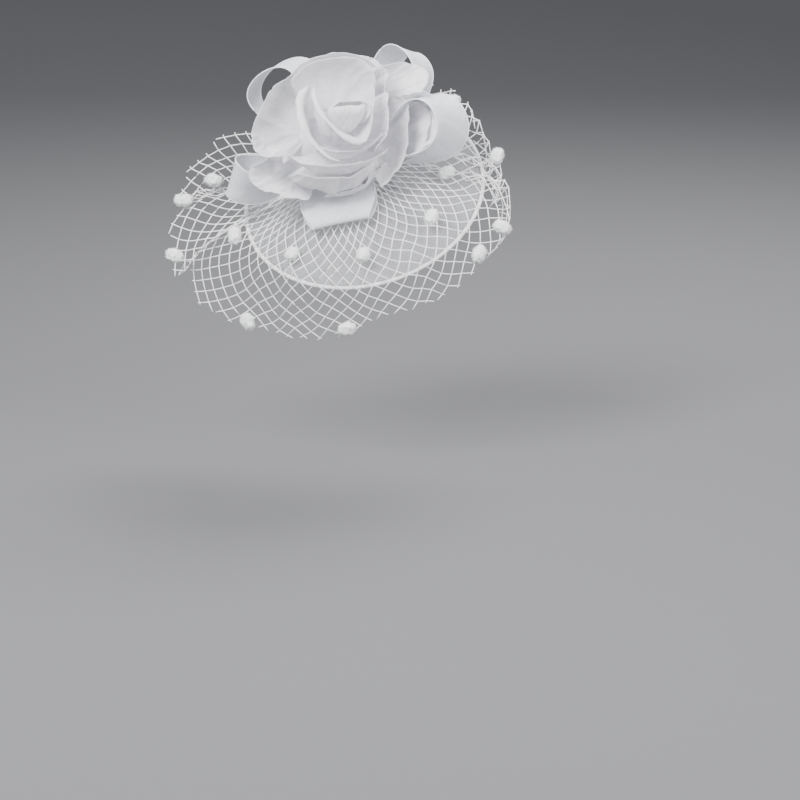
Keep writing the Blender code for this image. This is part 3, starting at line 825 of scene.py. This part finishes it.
def even_places(count):
    """Places round the veil that lie about equally far apart along its hem, folds included."""
    fine = 240
    hem_share, mean_step = 0.75, 2.6
    hems = []
    for i in range(fine + 1):
        turn, past, height = veil_station(i / fine)[:3]
        angle, reach = math.radians(turn), BASE_R + past
        hems.append(Vector((reach * math.cos(angle), reach * math.sin(angle), height)))
    run = [0.0]
    for a, b in zip(hems, hems[1:]):
        run.append(run[-1] + hem_share * (b - a).length + (1.0 - hem_share) * mean_step)
    places = []
    k = 0
    for i in range(count + 1):
        goal = run[-1] * i / count
        while k < fine - 1 and run[k + 1] < goal:
            k += 1
        places.append((k + (goal - run[k]) / (run[k + 1] - run[k])) / fine)
    return places


def make_veil():
    """The net, thread by thread between rows of knots, cut at the hem; returns its threads' points."""
    halves = 2 * NET_COLUMNS
    profiles, totals = [], []
    for u in even_places(halves):
        points = veil_profile(u)
        lengths = [0.0]
        for a, b in zip(points, points[1:]):
            lengths.append(lengths[-1] + (b - a).length)
        profiles.append((points, lengths))
        totals.append(lengths[-1])
    # rows of knots: the threads' length sets how far apart they lie as the net spreads
    levels = [0.0]
    while levels[-1] < max(totals):
        s = levels[-1]
        width = 0.0
        for c in range(halves):
            a = along_profile(*profiles[c], min(s, totals[c]))
            b = along_profile(*profiles[c + 1], min(s, totals[c + 1]))
            width += (b - a).length
        half = width / halves
        levels.append(s + max(NET_STEP, math.sqrt(max(NET_EDGE**2 - half**2, 0.0))))

    def knot(c, k):
        points, lengths = profiles[c]
        return along_profile(points, lengths, levels[k])

    sag = Vector((0.0, 0.0, -0.25))
    lines, knots = [], []
    for k in range(len(levels)):
        for c in range(k % 2, halves + 1, 2):
            if levels[k] > totals[c] + CUT_SLACK:
                continue
            here = knot(c, k)
            knots.append(here)
            for side in (-1, 1):
                d = c + side
                if d < 0 or d > halves or k + 1 >= len(levels):
                    continue
                there = knot(d, k + 1)
                over = levels[k + 1] - totals[d]
                end = 1.0
                if over > CUT_SLACK:
                    step = levels[k + 1] - levels[k]
                    end = max(CUT_SHARE, 1.0 - over / step + 0.25 * noise3(c * 0.7, k * 0.9, side))
                if end < 1.0:
                    line = [here, here.lerp(there, end * 0.5), here.lerp(there, end)]
                else:
                    middle = (here + there) / 2.0
                    line = [here, here.lerp(middle, 0.5) + sag * 0.6, middle + sag, there]
                lines.append([WORN @ (p * MM) for p in line])
    net = tubes("veil_net", lines, THREAD_RADIUS, 5)
    obj = piece("veil_net", net, THREAD, ("net_veil",))
    bm = bmesh.new()
    for point in knots:
        move = Matrix.Translation(WORN @ (point * MM))
        bmesh.ops.create_icosphere(bm, subdivisions=1, radius=KNOT_RADIUS * MM, matrix=move)
    mesh = bpy.data.meshes.new("veil_knots")
    bm.to_mesh(mesh)
    bm.free()
    ties = piece("veil_knots", mesh, THREAD)
    return [point for line in lines for point in line]


# Dots

DOTS = 14
# Half of a dot's length, breadth and height
DOT_SIZE = (5.7, 4.0, 3.6)
# A dot's middle lies at most this far from its thread
DOT_SEAT = 1.0
PILE_LENGTH, PILE_WIDTH = 1.0, 0.08


def dot_shape(way, number):
    """A lumpy rounded block round the origin, from a point of the unit ball."""
    lump = 1.0 + 0.20 * noise3(way.x * 2.1 + number, way.y * 2.1, way.z * 2.1)
    lump += 0.16 * noise3(way.x * 5.0, way.y * 5.0 + number, way.z * 5.0)
    lump += 0.10 * noise3(way.x * 12.0, way.y * 12.0 + number, way.z * 12.0)
    square = (abs(way.x) ** 3 + abs(way.y) ** 3 + abs(way.z) ** 3) ** (-1.0 / 3.0)
    point = way * (0.55 + 0.45 * square) * lump
    return Vector([part * size * MM for part, size in zip(point, DOT_SIZE)])


def make_dots(threads):
    """Chenille dots, each a tuft with short pile, moved from its CAD dot onto the nearest thread."""
    for number in range(1, DOTS + 1):
        node = f"veil_dot_{number:02d}"
        source = bpy.data.objects[node]
        verts = [source.matrix_world @ v.co for v in source.data.vertices]
        centre = sum(verts, Vector()) / len(verts)
        apart = min(threads, key=lambda point: (point - centre).length) - centre
        far = max(verts, key=lambda v: (v - centre).length)
        axis = (far - centre).normalized()
        near = min(verts, key=lambda v: (v - centre).length)
        up = (near - centre).normalized()
        up = (up - axis * up.dot(axis)).normalized()
        side = axis.cross(up)
        turn = Matrix((axis, side, up)).transposed().to_4x4()
        centre = centre + apart.normalized() * max(0.0, apart.length - DOT_SEAT * MM)
        place = Matrix.Translation(centre) @ turn
        bm = bmesh.new()
        bmesh.ops.create_icosphere(bm, subdivisions=4, radius=1.0)
        for vert in bm.verts:
            vert.co = place @ dot_shape(vert.co.copy(), number)
        surface = [(v.co.copy(), (v.co - centre).normalized()) for v in bm.verts]
        for index, (point, way) in enumerate(surface):
            jitter = Vector([noise3(index, row, number) for row in (1.7, 5.1, 9.3)])
            way = (way + jitter * 0.9).normalized()
            length = (PILE_LENGTH + 0.9 * noise3(index * 0.7, 2.0, number)) * MM
            across = way.orthogonal().normalized() * PILE_WIDTH * MM
            a = bm.verts.new(point - across)
            b = bm.verts.new(point + across)
            c = bm.verts.new(point + way.cross(across))
            d = bm.verts.new(point + way * length)
            bm.faces.new((a, b, d))
            bm.faces.new((b, c, d))
            bm.faces.new((c, a, d))
        name = f"dot_tuft_{number:02d}"
        mesh = bpy.data.meshes.new(name)
        bm.to_mesh(mesh)
        bm.free()
        piece(name, mesh, CHENILLE, (node,))


# Studio

# The camera stands as the photo's did, this far away and this far above level. The photo's side and
# the place of the part's origin in it are in pixels.
CAMERA_RANGE_M = 2.2
CAMERA_ELEVATION = 10.0
PHOTO_SIDE = 800.0
ORIGIN_X, ORIGIN_Y = 363.0, 192.0


def make_studio():
    """Floor with a rounded backdrop, three lights, an even sky and the camera."""
    scene = bpy.context.scene
    floor_mat = Nodes("studio_floor", (0.115, 0.115, 0.12), 0.8)
    floor_mat.bump(floor_mat.noise(floor_mat.object_coords(), 60.0), 0.0005, 0.15)
    mesh = bpy.data.meshes.new("studio_floor")
    profile = (
        (-4.0, -0.17), (1.6, -0.17), (2.1, -0.11), (2.5, 0.08), (2.75, 0.4), (2.85, 0.9), (2.85, 4.0),
    )
    verts = [(x, y, z) for y, z in profile for x in (-5.0, 5.0)]
    faces = [(2 * i, 2 * i + 1, 2 * i + 3, 2 * i + 2) for i in range(len(profile) - 1)]
    mesh.from_pydata(verts, [], faces)
    mesh.materials.append(floor_mat.mat)
    mesh.shade_smooth()
    floor = bpy.data.objects.new("studio_floor", mesh)
    scene.collection.objects.link(floor)

    for name, where, size, power in (
        ("key_light", (-0.62, -0.75, 0.95), 0.55, 40.0),
        ("fill_light", (0.9, -0.9, 0.45), 0.8, 18.0),
        ("rim_light", (0.3, 0.7, 0.9), 0.5, 22.0),
    ):
        data = bpy.data.lights.new(name, "AREA")
        data.shape = "SQUARE"
        data.size = size
        data.energy = power
        light = bpy.data.objects.new(name, data)
        scene.collection.objects.link(light)
        light.location = where
        light.rotation_euler = (-Vector(where)).to_track_quat("-Z", "Y").to_euler()

    world = bpy.data.worlds.new("studio_world")
    world.use_nodes = True
    sky = world.node_tree.nodes["Background"]
    sky.inputs["Color"].default_value = (0.86, 0.88, 0.92, 1.0)
    sky.inputs["Strength"].default_value = 0.8
    scene.world = world

    camera = bpy.data.cameras.new("photo_camera")
    camera.sensor_width = 36.0
    camera.lens = 152.3
    camera.shift_x = (PHOTO_SIDE / 2.0 - ORIGIN_X) / PHOTO_SIDE
    camera.shift_y = -(PHOTO_SIDE / 2.0 - ORIGIN_Y) / PHOTO_SIDE
    obj = bpy.data.objects.new("photo_camera", camera)
    scene.collection.objects.link(obj)
    elevation = math.radians(CAMERA_ELEVATION)
    obj.location = Vector((0.0, -math.cos(elevation), math.sin(elevation))) * CAMERA_RANGE_M
    obj.rotation_euler = (math.radians(90.0) - elevation, 0.0, 0.0)
    scene.camera = obj


# The clip's own solid stays and only takes the steel
for slot in bpy.data.objects["hair_clip"].material_slots:
    slot.material = STEEL

make_rim()
make_base()
make_heart()
make_rose()
make_loops()
make_dots(make_veil())
make_studio()
